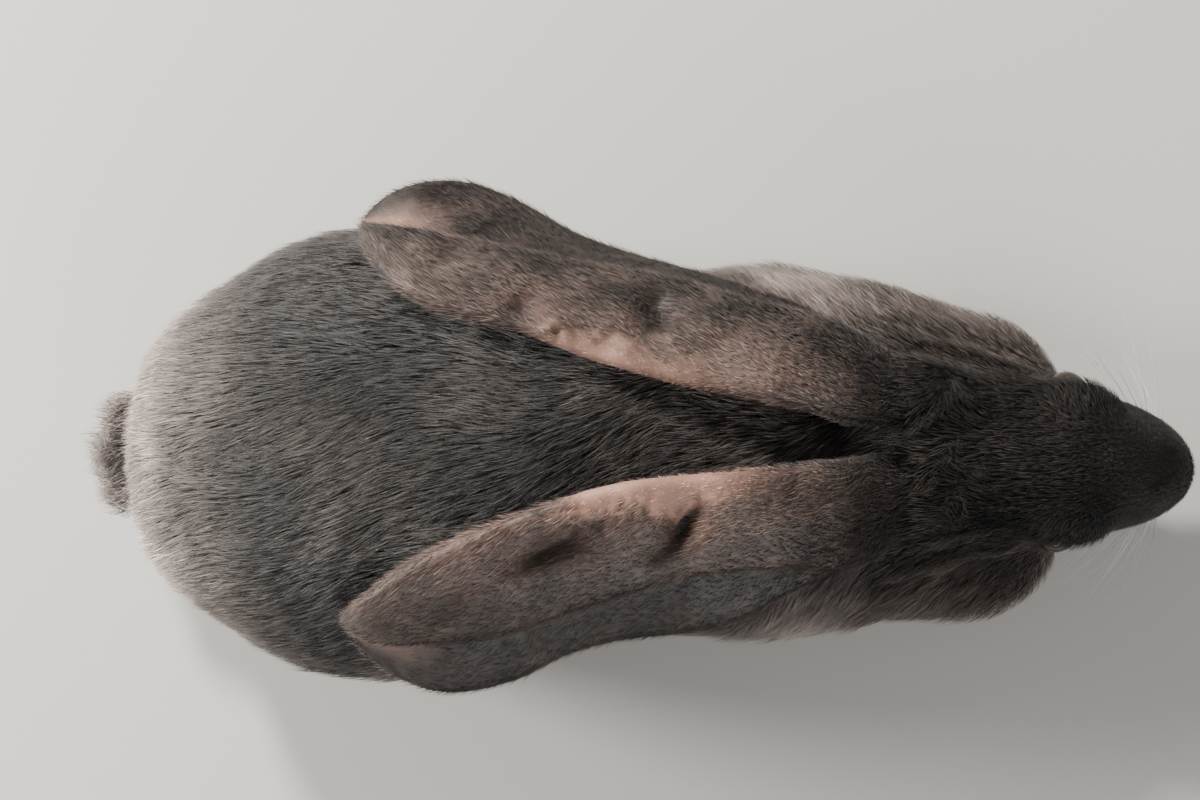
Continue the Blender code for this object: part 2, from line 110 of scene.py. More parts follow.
EYE_RINGS, EYE_STEPS = 40, 64
LID_STEPS = 72
LID_THICKNESS = 0.0004
WHISKER_ROWS, WHISKER_COLUMNS = 4, 5
CLAW_SIDES = 10

CAMERA_HEIGHT = 1.0
CAMERA_LENS = 66.9

rng = np.random.default_rng(7)

Hairs = namedtuple("Hairs", "roots normals uvs lie lengths widths heights tone")


# ---------------- small helpers


def smoothstep(low, high, value):
    t = np.clip((value - low) / (high - low), 0, 1)
    return t * t * (3 - 2 * t)


def unit(vectors):
    return vectors / np.maximum(np.linalg.norm(vectors, axis=-1, keepdims=True), 1e-9)


def ripple(points, pitch, seed):
    """Smooth noise between about -1 and 1 at each point, with waves of about this pitch."""
    waves = np.random.default_rng(seed)
    total = np.zeros(len(points))
    for _ in range(6):
        direction = unit(waves.normal(size=3))
        length = pitch * waves.uniform(0.7, 1.5)
        total += np.sin(points @ direction * math.tau / length + waves.uniform(0, 6.28))
    return total / 3


def ripples(points, waves):
    """A smooth random vector at each point, from a pitch and a seed for each of its three parts."""
    return np.stack([ripple(points, pitch, seed) for pitch, seed in waves], axis=1)


def columns(*parts):
    """Vectors from their parts along the three axes, each an array or one number."""
    return np.stack(np.broadcast_arrays(*parts), axis=1)


def laid(lie, normals):
    """The unit vectors of a lie once it is pressed flat onto the surface."""
    return unit(lie - normals * np.sum(lie * normals, axis=1, keepdims=True))


def through(stations, share):
    """The values at a share (0 to 1) of the way along evenly paced stations, on a smooth curve."""
    spans = len(stations) - 1
    at = min(max(share, 0.0), 1.0) * spans
    i = min(int(at), spans - 1)
    t = at - i
    before, here = stations[max(i - 1, 0)], stations[i]
    after, beyond = stations[i + 1], stations[min(i + 2, spans)]
    return [
        b + 0.5 * t * (c - a + t * (2 * a - 5 * b + 4 * c - d + t * (3 * (b - c) + d - a)))
        for a, b, c, d in zip(before, here, after, beyond)
    ]


def gathered(items, attribute, width, kind=float):
    """One attribute of all the items of a mesh, as rows of this width."""
    values = np.empty(len(items) * width, kind)
    items.foreach_get(attribute, values)
    return values.reshape(-1, width)


def coordinates(mesh, attribute="co"):
    return gathered(mesh.vertices, attribute, 3)


def mesh_from(name, points, faces):
    """A smooth mesh from an array of points and an array of faces with equal numbers of corners."""
    corners = faces.shape[1]
    mesh = bpy.data.meshes.new(name)
    mesh.vertices.add(len(points))
    mesh.vertices.foreach_set("co", np.asarray(points, np.float32).ravel())
    mesh.loops.add(faces.size)
    mesh.loops.foreach_set("vertex_index", faces.astype(np.int32).ravel())
    mesh.polygons.add(len(faces))
    mesh.polygons.foreach_set("loop_start", np.arange(0, faces.size, corners, dtype=np.int32))
    mesh.update(calc_edges=True)
    mesh.shade_smooth()
    return mesh


def tubes(name, lines, radii, sides=6):
    """One mesh of closed round tubes; each line is (points, 3) with as many radii in its row."""
    count, steps = lines.shape[:2]
    ahead = unit(np.gradient(lines, axis=1))
    across = unit(np.cross(ahead, [0.13, 0.21, 0.97]))
    over = np.cross(ahead, across)
    turns = np.arange(sides) * math.tau / sides
    turns = turns[None, None, :, None]
    rings = across[:, :, None] * np.cos(turns) + over[:, :, None] * np.sin(turns)
    rings = lines[:, :, None] + rings * radii[:, :, None, None]
    points = np.concatenate([rings.reshape(count, -1, 3), lines[:, :1], lines[:, -1:]], axis=1)
    faces = []
    for step in range(steps - 1):
        for side in range(sides):
            a, b = step * sides + side, step * sides + (side + 1) % sides
            faces += [(a, b, b + sides), (a, b + sides, a + sides)]
    root, tip, last = steps * sides, steps * sides + 1, (steps - 1) * sides
    for side in range(sides):
        after = (side + 1) % sides
        faces += [(root, after, side), (tip, last + side, last + after)]
    every = np.array(faces)[None] + (steps * sides + 2) * np.arange(count)[:, None, None]
    return mesh_from(name, points.reshape(-1, 3), every.reshape(-1, 3))


def ring_faces(rings, steps):
    """Four-sided faces between closed rings that have equal numbers of points."""
    index = np.arange(rings * steps).reshape(rings, steps)
    after = np.roll(index, -1, axis=1)
    return np.stack([index[:-1], after[:-1], after[1:], index[1:]], axis=-1).reshape(-1, 4)


def turned_outwards(mesh, merge=False):
    """The mesh with its faces turned outwards, after its doubled points are merged if that is asked."""
    bm = bmesh.new()
    bm.from_mesh(mesh)
    if merge:
        bmesh.ops.remove_doubles(bm, verts=bm.verts, dist=1e-6)
    bmesh.ops.recalc_face_normals(bm, faces=bm.faces)
    bm.to_mesh(mesh)
    bm.free()
    mesh.shade_smooth()
    return mesh


def tree_of(mesh):
    points = [Vector(point) for point in coordinates(mesh)]
    return BVHTree.FromPolygons(points, [face.vertices[:] for face in mesh.polygons])


def set_lock(mesh, values):
    """Stores what the coat's colours need at each vertex: chance, way along the hair, and tone or pink,
    which carry painted light and shade too.
    """
    data = np.ones((len(mesh.vertices), 4), np.float32)
    for channel, value in enumerate(values):
        data[:, channel] = value
    mesh.attributes.new("lock", "FLOAT_COLOR", "POINT").data.foreach_set("color", data.ravel())


def set_uvs(mesh, places):
    """Gives each corner of a mesh its place on the map that the export bakes."""
    layer = mesh.uv_layers.new(name=UV_MAP)
    layer.uv.foreach_set("vector", places.astype(np.float32).ravel())


def in_scene(name, data):
    made = bpy.data.objects.new(name, data)
    bpy.context.scene.collection.objects.link(made)
    return made


def new_piece(name, mesh, material, replaced=()):
    """An object that rides on the rabbit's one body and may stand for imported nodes."""
    made = in_scene(name, mesh)
    mesh.materials.clear()
    mesh.materials.append(material)
    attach(made, "root")
    if replaced:
        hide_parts(*replaced)
    return made


def evaluated(obj):
    graph = bpy.context.evaluated_depsgraph_get()
    return bpy.data.meshes.new_from_object(obj.evaluated_get(graph))


def in_head(points):
    """Points of the frame in the head's own axes."""
    back = np.array(head.inverted())
    return points @ back[:3, :3].T + back[:3, 3]


# ---------------- regions of the coat


def regions(points):
    """How far each point is in each region of the coat, from 0 to 1, and its form coordinates."""
    form = points - np.array(form_shift)
    x, y, z = form.T
    u, v, w = in_head(points).T
    on_head = smoothstep(-0.010, 0.030, u) * smoothstep(-0.052, -0.040, w)
    face = smoothstep(0.050, 0.115, u) * on_head
    nose = smoothstep(0.128, 0.144, u) * on_head
    brow = smoothstep(0.062, 0.072, u) * smoothstep(0.108, 0.096, u) * smoothstep(0.016, 0.022, np.abs(v))
    brow *= smoothstep(0.014, 0.020, w) * smoothstep(0.042, 0.034, w) * on_head
    ruff = smoothstep(0.050, 0.078, u) * smoothstep(0.122, 0.080, u) * smoothstep(0.016, 0.030, np.abs(v))
    ruff *= smoothstep(0.000, -0.014, w) * smoothstep(-0.036, -0.022, w) * on_head
    crown = smoothstep(0.0, 0.014, u) * smoothstep(0.052, 0.034, u) * smoothstep(0.032, 0.020, np.abs(v))
    crown *= on_head
    hind_foot = smoothstep(0.030, 0.022, z) * smoothstep(-0.175, -0.150, x)
    hind_foot *= smoothstep(0.034, 0.042, np.abs(y))
    hind_foot *= smoothstep(0.050, 0.035, x)
    fore_foot = smoothstep(0.030, 0.020, z) * smoothstep(0.090, 0.120, x)
    tail = smoothstep(-0.182, -0.194, x) * smoothstep(0.046, 0.036, np.abs(y)) * smoothstep(0.098, 0.086, z)
    feet = np.maximum(hind_foot, fore_foot)
    belly = smoothstep(0.030, 0.010, z) * (1 - feet)
    cheek = smoothstep(0.020, 0.100, x) * smoothstep(0.024, 0.060, np.abs(y)) * smoothstep(0.014, 0.040, z)
    cheek *= smoothstep(0.215, 0.185, x) * (1 - feet) * (1 - face)
    return dict(
        form=form, face=face, nose=nose, brow=brow, ruff=ruff, head=on_head,
        crown=crown, feet=feet, tail=tail, belly=belly, cheek=cheek,
    )


def mixed(shares, body, **parts):
    """A value for the body, replaced region by region in the order given."""
    value = np.full(len(shares["face"]), body)
    for region, own in parts.items():
        value = value + (own - value) * shares[region]
    return value


COAT_DEPTHS = dict(body=0.005, belly=0.0035, tail=0.008, head=0.0032, cheek=0.0055, face=0.0012, feet=0.0012)


def coat_tone_and_light(points, shares):
    """How pale the coat is, from 0 on the back and muzzle to 1 on the flanks, rump and cheeks; much of it is
    painted light and shade.
    """
    x, _, z = shares["form"].T
    # Paler low on the flanks, partly the paler underside and partly painted light. The rump's pale band is a
    # painted highlight where the light grazes the rump. The nape is paler as painted light that lifts the
    # shade between the ears.
    low = smoothstep(0.125, 0.050, z)
    rump = smoothstep(-0.114, -0.178, x)
    nape_painted_light = smoothstep(-0.02, 0.08, x)
    tone = 0.045 + 0.15 * nape_painted_light + 0.28 * low + 0.78 * rump
    # The cheeks are paler, partly the coat's own tone and partly painted light.
    tone += (0.61 - tone) * shares["cheek"]
    # The head is dark on top, partly its own darker coat and partly painted shade, and paler on its lower
    # sides.
    upper_head = smoothstep(-0.014, 0.030, in_head(points)[:, 2])
    tone += (0.02 + 0.46 * (1 - upper_head) * (1 - 0.5 * shares["face"]) - tone) * shares["head"]
    # The tail's pale tone partly lifts the rump's shade on it with painted light.
    tone += (0.57 - tone) * shares["tail"]
    return np.clip(tone + 0.10 * ripple(points, 0.05, 11) + 0.05 * ripple(points, 0.015, 12), 0, 1)


def lie_of_coat(points, normals, shares):
    """Unit vectors along which the hairs lie: from the nose back over the body, and down to the toes."""
    x, y, z = shares["form"].T
    v = in_head(points)[:, 1]
    turn = np.array(head.to_3x3())
    lie = np.tile([-1.0, -0.27, -0.22], (len(points), 1))
    lie[:, 2] -= 0.55 * smoothstep(0.11, 0.04, z)
    lie[:, 2] -= 0.8 * smoothstep(-0.130, -0.185, x)
    cheek_or_ruff = np.maximum(0.55 * shares["cheek"], 0.7 * shares["ruff"])
    for way, share in (
        (np.array(head.to_3x3() @ Vector((-1, 0, -0.15))), shares["head"]),
        (np.array([1.0, 0, -0.25]), 0.9 * shares["feet"]),
        (columns(-0.35, np.sign(v), -0.25) @ turn.T, 0.8 * shares["brow"]),
        (columns(-1.0, y * 16, 0.3 + (z - 0.05) * 10), shares["tail"]),
        (columns(-0.5, np.sign(y), -0.35), cheek_or_ruff),
    ):
        lie += (way - lie) * share[:, None]
    sway = ripples(points, [(0.09, 1), (0.07, 2), (0.08, 3)])
    ruffle = ripples(points, [(0.018, 4), (0.020, 5), (0.016, 6)])
    ruffled = 0.15 + 0.75 * shares["crown"] + 0.18 * shares["cheek"]
    lie = unit(lie) + 0.18 * sway + ruffle * ruffled[:, None]
    return laid(lie + rng.normal(scale=0.09, size=lie.shape), normals)


# ---------------- skin

# Folds of the face: head coordinates on the left side or the middle line, then depth and half width.
# They are a ridge behind the eye, the groove in front of it, a nostril, the split lip and the mouth.
# A negative depth is a ridge.
FOLDS = [
    ([(0.012, 0.040, 0.010), (0.040, 0.0415, 0.008), (0.064, 0.037, 0.009)], -0.0026, 0.0042),
    ([(0.094, 0.0330, 0.002), (0.104, 0.0290, -0.002), (0.116, 0.026, -0.006)], 0.0012, 0.0040),
    ([(0.150, 0.0014, -0.0046), (0.149, 0.0048, -0.0010), (0.146, 0.0082, 0.0002)], 0.0034, 0.0015),
    ([(0.152, 0.0, -0.0040), (0.150, 0.0, -0.0100), (0.147, 0.0, -0.0190)], 0.0032, 0.0013),
    (
        [(0.147, 0.0, -0.0190), (0.141, 0.007, -0.0222), (0.128, 0.014, -0.0245), (0.113, 0.020, -0.0240)],
        0.0034,
        0.0015,
    ),
]


def fused_skin():
    """The skin as one closed mesh inside the solids by the coat's depth, its tree, and the solids' tree."""
    bm = bmesh.new()
    for node in FLESH:
        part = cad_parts[node].data.copy()
        grown = coordinates(part) + coordinates(part, "normal") * SKIN_OVERLAP
        part.vertices.foreach_set("co", grown.ravel())
        bm.from_mesh(part)
        bpy.data.meshes.remove(part)
    bmesh.ops.remove_doubles(bm, verts=bm.verts, dist=1e-6)
    for side in SIDES.values():
        socket = Matrix.Translation(head @ Vector((EYE_PLACE.x, side * EYE_PLACE.y, EYE_PLACE.z)))
        radius = EYE_RADIUS + 0.0008
        bmesh.ops.create_uvsphere(bm, u_segments=24, v_segments=16, radius=radius, matrix=socket)
    mesh = bpy.data.meshes.new("flesh")
    bm.to_mesh(mesh)
    bm.free()
    draft = in_scene("flesh", mesh)
    fuse = draft.modifiers.new("fuse", "REMESH")
    fuse.mode = "VOXEL"
    fuse.voxel_size = SKIN_VOXEL
    smooth = draft.modifiers.new("smooth", "SMOOTH")
    smooth.factor = 0.5
    smooth.iterations = SMOOTH_PASSES
    outer = BVHTree.FromObject(draft, bpy.context.evaluated_depsgraph_get())
    skin = evaluated(draft)
    bpy.data.objects.remove(draft)
    points = coordinates(skin)
    normals = coordinates(skin, "normal")
    points -= normals * (mixed(regions(points), **COAT_DEPTHS) + SKIN_OVERLAP)[:, None]
    skin.vertices.foreach_set("co", points.ravel())
    refine_muzzle(skin)
    fold_face(skin)
    points = coordinates(skin)
    points[:, 2] = np.maximum(points[:, 2], FLOOR_CLEARANCE)
    skin.vertices.foreach_set("co", points.ravel())
    skin.update()
    skin.shade_smooth()
    return skin, tree_of(skin), outer


def refine_muzzle(skin):
    """Splits the skin's edges on the muzzle in four, so that it can carry small folds."""
    bm = bmesh.new()
    bm.from_mesh(skin)
    for _ in range(2):
        where = in_head(np.array([v.co for v in bm.verts]))
        bm.verts.ensure_lookup_table()
        near = (where[:, 0] > MUZZLE_FROM) & (where[:, 2] > MUZZLE_FLOOR)
        edges = [edge for edge in bm.edges if all(near[v.index] for v in edge.verts)]
        bmesh.ops.subdivide_edges(bm, edges=edges, cuts=1, use_grid_fill=True, smooth=0.0)
        bm.verts.index_update()
    bmesh.ops.triangulate(bm, faces=[face for face in bm.faces if len(face.verts) > 4])
    bm.to_mesh(skin)
    bm.free()
    skin.update()


def fold_face(skin):
    """Presses the folds of the face into the skin, or raises them."""
    points = coordinates(skin)
    normals = coordinates(skin, "normal")
    tree = tree_of(skin)
    shift = np.zeros(len(points))
    near_face = np.flatnonzero(in_head(points)[:, 0] > -0.02)
    for line, depth, width in FOLDS:
        mirrored = (1, -1) if any(v for _, v, _ in line) else (1,)
        for side in mirrored:
            dots = []
            for step in range(FOLD_STEPS):
                u, v, w = through(line, step / (FOLD_STEPS - 1))
                dots.append(tree.find_nearest(head @ Vector((u, side * v, w)))[0])
            away = np.full(len(near_face), np.inf)
            for dot in dots:
                away = np.minimum(away, np.linalg.norm(points[near_face] - np.array(dot), axis=1))
            fold = depth * np.exp(-((away / width) ** 2))
            here = shift[near_face]
            shift[near_face] = np.where(np.abs(fold) > np.abs(here), fold, here)
    points -= normals * shift[:, None]
    skin.vertices.foreach_set("co", points.ravel())
    skin.update()


def unwrapped(obj):
    """Gives a piece a UV map on the piece's own surface, under the name that the export keeps."""
    obj.data.uv_layers.new(name=UV_MAP)
    bpy.context.view_layer.objects.active = obj
    obj.select_set(True)
    bpy.ops.object.mode_set(mode="EDIT")
    bpy.ops.mesh.select_all(action="SELECT")
    bpy.ops.uv.smart_project(angle_limit=math.radians(66), island_margin=0.002)
    bpy.ops.object.mode_set(mode="OBJECT")
    obj.select_set(False)


# ---------------- tufts


def scattered(mesh, density, count):
    """Roots spread over a mesh, as corner vertices with a share of each, and their UVs."""
    mesh.calc_loop_triangles()
    triangles = gathered(mesh.loop_triangles, "vertices", 3, np.int64)
    loops = gathered(mesh.loop_triangles, "loops", 3, np.int64)
    corners = coordinates(mesh)[triangles]
    areas = np.linalg.norm(np.cross(corners[:, 1] - corners[:, 0], corners[:, 2] - corners[:, 0]), axis=1)
    weights = np.cumsum(areas * density[triangles].mean(axis=1))
    picks = (np.arange(count) + rng.random(count)) / count * weights[-1]
    chosen = np.minimum(np.searchsorted(weights, picks), len(triangles) - 1)
    a, b = rng.random((2, count))
    flip = a + b > 1
    a[flip], b[flip] = 1 - a[flip], 1 - b[flip]
    shares = np.stack([1 - a - b, a, b], axis=1)
    uvs = gathered(mesh.uv_layers[UV_MAP].uv, "vector", 2)
    uvs = (uvs[loops[chosen]] * shares[:, :, None]).sum(axis=1)
    return triangles[chosen], shares, uvs


def at_roots(values, corners, shares):
    """Values given at a mesh's vertices, at scattered roots."""
    picked = values[corners]
    return (picked * shares.reshape(shares.shape + (1,) * (picked.ndim - 2))).sum(axis=1)


def sampled(mesh, density, count, *values):
    """Scattered roots on a mesh with their normals and UVs, and what the values per vertex are there."""
    corners, shares, uvs = scattered(mesh, density, count)
    roots = at_roots(coordinates(mesh), corners, shares)
    normals = unit(at_roots(coordinates(mesh, "normal"), corners, shares))
    return [roots, normals, uvs] + [at_roots(value, corners, shares) for value in values]


def clumped(roots, tips, pull):
    """Tips drawn together in locks: each tip moves towards the tip of the nearest lock's leading hair."""
    count = max(len(roots) // TUFTS_PER_LOCK, 1)
    leaders = rng.choice(len(roots), count, replace=False)
    tree = KDTree(count)
    for i, leader in enumerate(leaders):
        tree.insert(roots[leader], i)
    tree.balance()
    nearest = np.array([tree.find(root)[1] for root in roots])
    return tips + (tips[leaders[nearest]] - tips) * pull


def tufts(name, material, hairs, bent=True, pull=LOCK_PULL):
    """One piece of closed three-sided tufts with pointed tips; the long ones have a bend at the middle."""
    roots, normals, uvs, lie = hairs[:4]
    lengths, widths, heights = (values[:, None] for values in hairs[4:7])
    count = len(roots)
    across = np.cross(normals, lie)
    tips = clumped(roots, roots + lie * lengths + normals * heights, pull)
    rings = [roots - normals * ROOT_DEPTH]
    if bent:
        rings.append(roots + (tips - roots) * 0.48 + normals * heights * 0.36)
    each = 3 * len(rings) + 1
    points = np.empty((count, each, 3))
    for corner, turn in enumerate((math.pi / 2, math.pi * 7 / 6, math.pi * 11 / 6)):
        rim = (across * math.cos(turn) + normals * (math.sin(turn) * TUFT_FLATNESS)) * widths / 2
        for ring, (middle, size) in enumerate(zip(rings, (1, 0.85))):
            points[:, 3 * ring + corner] = middle + rim * size
    points[:, -1] = tips
    points[:, :, 2] = np.maximum(points[:, :, 2], 0.0001)
    tip, last = each - 1, each - 4
    pattern = [(0, 2, 1)]
    for i in range(3):
        j = (i + 1) % 3
        pattern.append((last + i, last + j, tip))
        if bent:
            pattern += [(i, j, 3 + j), (i, 3 + j, 3 + i)]
    triangles = (np.array(pattern)[None] + each * np.arange(count)[:, None, None]).reshape(-1, 3)
    mesh = mesh_from(name, points.reshape(-1, 3), triangles)
    along = np.array([0.0] * 3 + [0.5] * (last and 3) + [1.0])
    spots = np.stack([np.tile([0.0, 0.5, 1.0], 3)[:each], along], axis=1) * UV_PATCH
    places = (uvs[:, None] + spots[None] - UV_PATCH / 2).reshape(-1, 2)
    set_uvs(mesh, places[triangles.ravel()])
    chance = np.repeat(rng.random(count), each)
    set_lock(mesh, [chance, np.tile(along, count), np.repeat(hairs.tone, each)])
    new_piece(name, mesh, material)


def tuft_pieces(name, material, hairs, bent=True):
    """Tufts in as many pieces as their triangles need, from the tail to the nose."""
    order = np.argsort(hairs.roots[:, 0])
    pieces = math.ceil(len(order) * TUFT_TRIANGLES[bent] / PIECE_TRIANGLES)
    for number, part in enumerate(np.array_split(order, pieces), 1):
        own = Hairs(*(values[part] for values in hairs))
        tufts(f"{name}_{number}", material, own, bent)


# Length and width of a tuft, and how far its tip stands out as a share of the coat's depth, by region.
TUFT_LENGTHS = dict(
    body=0.0150, belly=0.0110, tail=0.0170, head=0.0085, crown=0.0100, cheek=0.0150,
    face=0.0046, brow=0.0062, ruff=0.0105, nose=0.0032, feet=0.0046,
)
TUFT_WIDTHS = dict(body=0.00048, tail=0.00046, head=0.00038, cheek=0.00042, face=0.00034, feet=0.00036)
TUFT_RISES = dict(body=1.0, crown=1.5, cheek=1.5, tail=1.5, face=1.4, brow=1.4, ruff=2.9, nose=1.2)


def body_coat(skin, body_look, face_look):
    """Long bent tufts, fine straight ones among them, the head's own, and short ones on face and feet."""
    normals = coordinates(skin, "normal")
    shares = regions(coordinates(skin))
    short = np.maximum(shares["face"], shares["feet"])
    upper = 0.55 + 0.45 * smoothstep(-0.4, 0.1, normals[:, 2])
    long_density = upper * mixed(shares, 1.0, belly=0.45, tail=1.3, head=1.3)
    long_density *= smoothstep(0.75, 0.45, short)
    short_density = smoothstep(0.45, 0.75, short) * upper * (1 + 1.2 * shares["face"])
    on_head = smoothstep(0.3, 0.6, shares["head"])
    for name, look, density, count, bent, thickness in (
        ("coat_long", body_look, long_density * (1 - on_head), LONG_TUFTS, True, 1.0),
        ("coat_fine", body_look, long_density * (1 - on_head), FINE_TUFTS, False, 0.85),
        ("coat_head", face_look, long_density * on_head, HEAD_TUFTS, True, 1.0),
        ("coat_short", face_look, short_density, SHORT_TUFTS, False, 1.0),
    ):
        roots, root_normals, uvs = sampled(skin, density, count)
        here = regions(roots)
        lie = lie_of_coat(roots, root_normals, here)
        lengths = mixed(here, **TUFT_LENGTHS) * rng.uniform(0.7, 1.2, count)
        widths = mixed(here, **TUFT_WIDTHS) * thickness * rng.uniform(0.7, 1.3, count)
        heights = mixed(here, **COAT_DEPTHS) * mixed(here, **TUFT_RISES) * rng.uniform(0.45, 1.0, count)
        hairs = Hairs(roots, root_normals, uvs, lie, lengths, widths, heights, coat_tone_and_light(roots, here))
        tuft_pieces(name, look, hairs, bent)


# ---------------- ears

# Sections of the ears from the root to the tip, in tenths of a millimetre: x, y of the fold, of the upper
# margin and of the lower margin, least height at the fold and at the margins, and space between the sheets.
EAR_STATIONS = {
    "left": [
        (1340, 160, 300, 290, 780, 740, 100),
        (1200, 140, 370, 360, 840, 780, 130),
        (1080, 140, 440, 430, 920, 820, 150),
        (950, 155, 510, 505, 980, 800, 150),
        (770, 200, 565, 600, 900, 750, 130),
        (540, 247, 620, 680, 900, 770, 100),
        (310, 286, 690, 750, 1000, 820, 80),
        (80, 347, 735, 820, 1100, 880, 70),
        (-120, 413, 764, 900, 1300, 940, 70),
        (-300, 490, 800, 1000, 1420, 1000, 80),
        (-500, 535, 840, 1080, 1450, 1050, 100),
        (-660, 590, 870, 1090, 1430, 1090, 110),
        (-800, 680, 895, 1050, 1370, 1130, 90),
        (-885, 790, 905, 990, 1310, 1170, 60),
        (-925, 885, 915, 940, 1260, 1220, 20),
    ],
    "right": [
        (1340, -80, -260, -250, 780, 740, 100),
        (1200, -40, -330, -320, 840, 780, 130),
        (1080, -20, -400, -390, 920, 820, 150),
        (950, -25, -440, -465, 980, 800, 150),
        (763, -39, -430, -530, 900, 750, 130),
        (534, -55, -430, -650, 900, 750, 100),
        (310, -70, -460, -700, 1000, 830, 80),
        (80, -95, -530, -730, 1100, 910, 70),
        (-130, -150, -600, -790, 1300, 980, 70),
        (-320, -218, -665, -885, 1450, 1040, 80),
        (-520, -295, -700, -930, 1500, 1100, 100),
        (-690, -380, -712, -910, 1500, 1160, 110),
        (-840, -490, -708, -820, 1480, 1240, 90),
        (-930, -560, -670, -720, 1450, 1320, 60),
        (-970, -595, -625, -640, 1430, 1380, 20),
    ],
}

# Where the upper sheet is thinly haired and pink, as four places along x between which it comes and goes,
# with how pink it is there and elsewhere. The right ear's higher value elsewhere is painted light, as that
# ear is more in the light.
EAR_PINK_AND_LIGHT = {
    "left": (-0.032, -0.014, 0.012, 0.074, 0.50, 0.22),
    "right": (-0.020, 0.000, 0.026, 0.074, 0.95, 0.30),
}

# Dents of the upper sheet: heading in degrees, then x, y, half length, half width and depth in tenths of
# a millimetre. A negative depth is a crease that stands up.
EAR_DENTS = {
    "left": [
        (75, 205, 520, 100, 66, 68),
        (60, -320, 530, 100, 56, 40),
        (18, -190, 490, 80, 16, -22),
        (-60, -130, 455, 35, 15, -14),
        (40, -40, 440, 75, 18, -7),
        (50, 20, 430, 80, 26, 12),
        (35, 90, 400, 80, 20, -6),
        (25, 470, 440, 130, 42, 14),
        (40, -600, 760, 120, 60, 22),
    ],
    "right": [
        (60, 320, -235, 100, 64, 64),
        (30, 230, -340, 120, 46, 24),
        (25, -200, -330, 150, 55, 48),
        (8, -130, -215, 90, 16, -24),
        (-35, -60, -255, 55, 16, -18),
        (70, 20, -180, 70, 16, 8),
        (76, 74, -174, 75, 16, 10),
        (80, 128, -168, 70, 16, 9),
        (84, 182, -164, 60, 16, 8),
        (35, -600, -560, 130, 60, 22),
    ],
}


def clear_height(outer, x, y):
    """The least height at which a sheet clears the body at a form place, or None beside the body."""
    hit, normal, _, _ = outer.ray_cast(Vector((x + form_shift.x, y + form_shift.y, 1)), Vector((0, 0, -1)))
    if hit is None or hit.z < LOWEST_BED:
        return None
    return hit.z + (EAR_CLEARANCE + EAR_THICKNESS / 2) / max(normal.z, 0.5)


def bed_heights(station, outer):
    """Heights at which a taut sheet would lie over the body, from the fold outwards."""
    x, fold, upper, lower, fold_height, edge_height, _ = station
    sunk = float(smoothstep(EAR_SINK_FROM, EAR_SINK_TO, x))
    reach = max((upper, lower), key=lambda margin: abs(margin - fold))
    places = [fold + (reach - fold) * i / (BED_COLUMNS - 1) for i in range(BED_COLUMNS)]
    raw = []
    for y in places:
        share = min(abs(y - fold) / abs(lower - fold), 1)
        lift = fold_height + (edge_height - fold_height) * share
        clear = clear_height(outer, x, y)
        raw.append(max(lift, clear - EAR_SINK * sunk) if clear else lift)
    taut = list(raw)
    for i, y in enumerate(places):
        for j in range(i):
            for k in range(i + 1, len(places)):
                part = (y - places[j]) / (places[k] - places[j])
                taut[i] = max(taut[i], raw[j] + (raw[k] - raw[j]) * part)
    return taut


def ear_middle(stations, outer):
    """The ear's middle surface as rows from root to tip of points from the lower to the upper margin."""
    evenly = [2 * i / (EAR_COLUMNS - 1) - 1 for i in range(EAR_COLUMNS)]
    across_steps = np.array([math.copysign(abs(step) ** 1.4, step) for step in evenly])
    paced = [through(stations, 1 - (1 - row / (BED_ROWS - 1)) ** EAR_PACE) for row in range(BED_ROWS)]
    beds = np.array([bed_heights(station, outer) for station in paced])
    padded = np.pad(beds, ((1, 1), (0, 0)), mode="edge")
    beds = np.maximum(np.maximum(padded[:-2], padded[1:-1]), padded[2:])
    for _ in range(3):
        padded = np.pad(beds, ((1, 1), (0, 0)), mode="edge")
        beds = (padded[:-2] + 2 * padded[1:-1] + padded[2:]) / 4
    rows = []
    for row in range(EAR_ROWS):
        share = row / (EAR_ROWS - 1)
        x, fold, upper, lower, _, _, space = through(stations, 1 - (1 - share) ** EAR_PACE)
        bed = np.array(through(beds, share))
        margin = np.where(across_steps > 0, upper, lower)
        out = np.abs(margin - fold) * np.abs(across_steps)
        reach = max(abs(upper - fold), abs(lower - fold))
        base = np.interp(out, np.linspace(0, reach, BED_COLUMNS), bed)
        turn = 1 - np.minimum(out / (space / 2), 1)
        half = space / 2 * np.sqrt(1 - turn**2)
        rise = np.where(across_steps > 0, half * (1 - 0.45 * across_steps**2), -half)
        y = fold + np.copysign(out, lower - fold)
        rows.append(np.stack([np.full(EAR_COLUMNS, x), y, base + space / 2 + rise], axis=1))
    grid = np.array(rows)
    for _ in range(6):
        grid[1:-1, 1:-1] = (
            2 * grid[1:-1, 1:-1] + (grid[2:, 1:-1] + grid[:-2, 1:-1] + grid[1:-1, 2:] + grid[1:-1, :-2]) / 2
        ) / 4
    return grid, across_steps


def dented(grid, across, dents):
    """The grid with its upper sheet pressed down or raised at each dent."""
    upper_sheet = smoothstep(0.02, 0.18, across)[None]
    for heading, *tenths in dents:
        x, y, length, width, depth = np.array(tenths) / TENTHS_PER_METRE
        turn = math.radians(heading)
        dx, dy = grid[:, :, 0] - x, grid[:, :, 1] - y
        ahead = (dx * math.cos(turn) + dy * math.sin(turn)) / length
        aside = (dy * math.cos(turn) - dx * math.sin(turn)) / width
        grid[:, :, 2] -= 1.3 * depth * upper_sheet * np.exp(-(ahead**2) - aside**2)
    return grid


